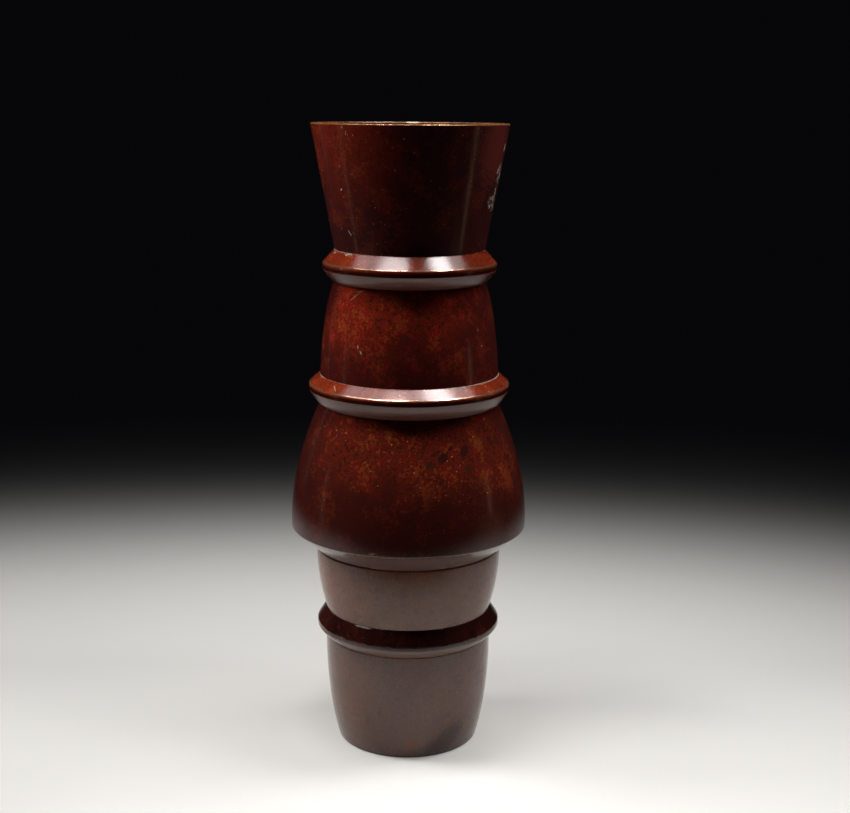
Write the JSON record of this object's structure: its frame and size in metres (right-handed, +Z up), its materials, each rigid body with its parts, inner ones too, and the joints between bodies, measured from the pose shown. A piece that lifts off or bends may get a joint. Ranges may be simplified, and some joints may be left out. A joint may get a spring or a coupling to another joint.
{
  "type": "flower vase",
  "caption": "Tall turned bronze flower vase with a flared mouth, bell-shaped drums over a waist, bevelled collars and a barrel foot.",
  "frame": {"origin": "centre of the foot's resting rim, at table height", "axes": "+Z up the vase's axis, from the foot to the mouth"},
  "size_m": [0.1136, 0.1136, 0.3],
  "materials": {
    "patinated_bronze": "glossy mottled red-brown patina under wax",
    "base_bronze": "thin worn brown patina"
  },
  "bodies": {
    "root": {"base_plate": "base_bronze", "foot_drum": "patinated_bronze", "lower_collar": "patinated_bronze", "waist_drum": "patinated_bronze", "bell": "patinated_bronze", "middle_collar": "patinated_bronze", "upper_drum": "patinated_bronze", "upper_collar": "patinated_bronze", "mouth_cone": "patinated_bronze"}
  },
  "joints": []
}
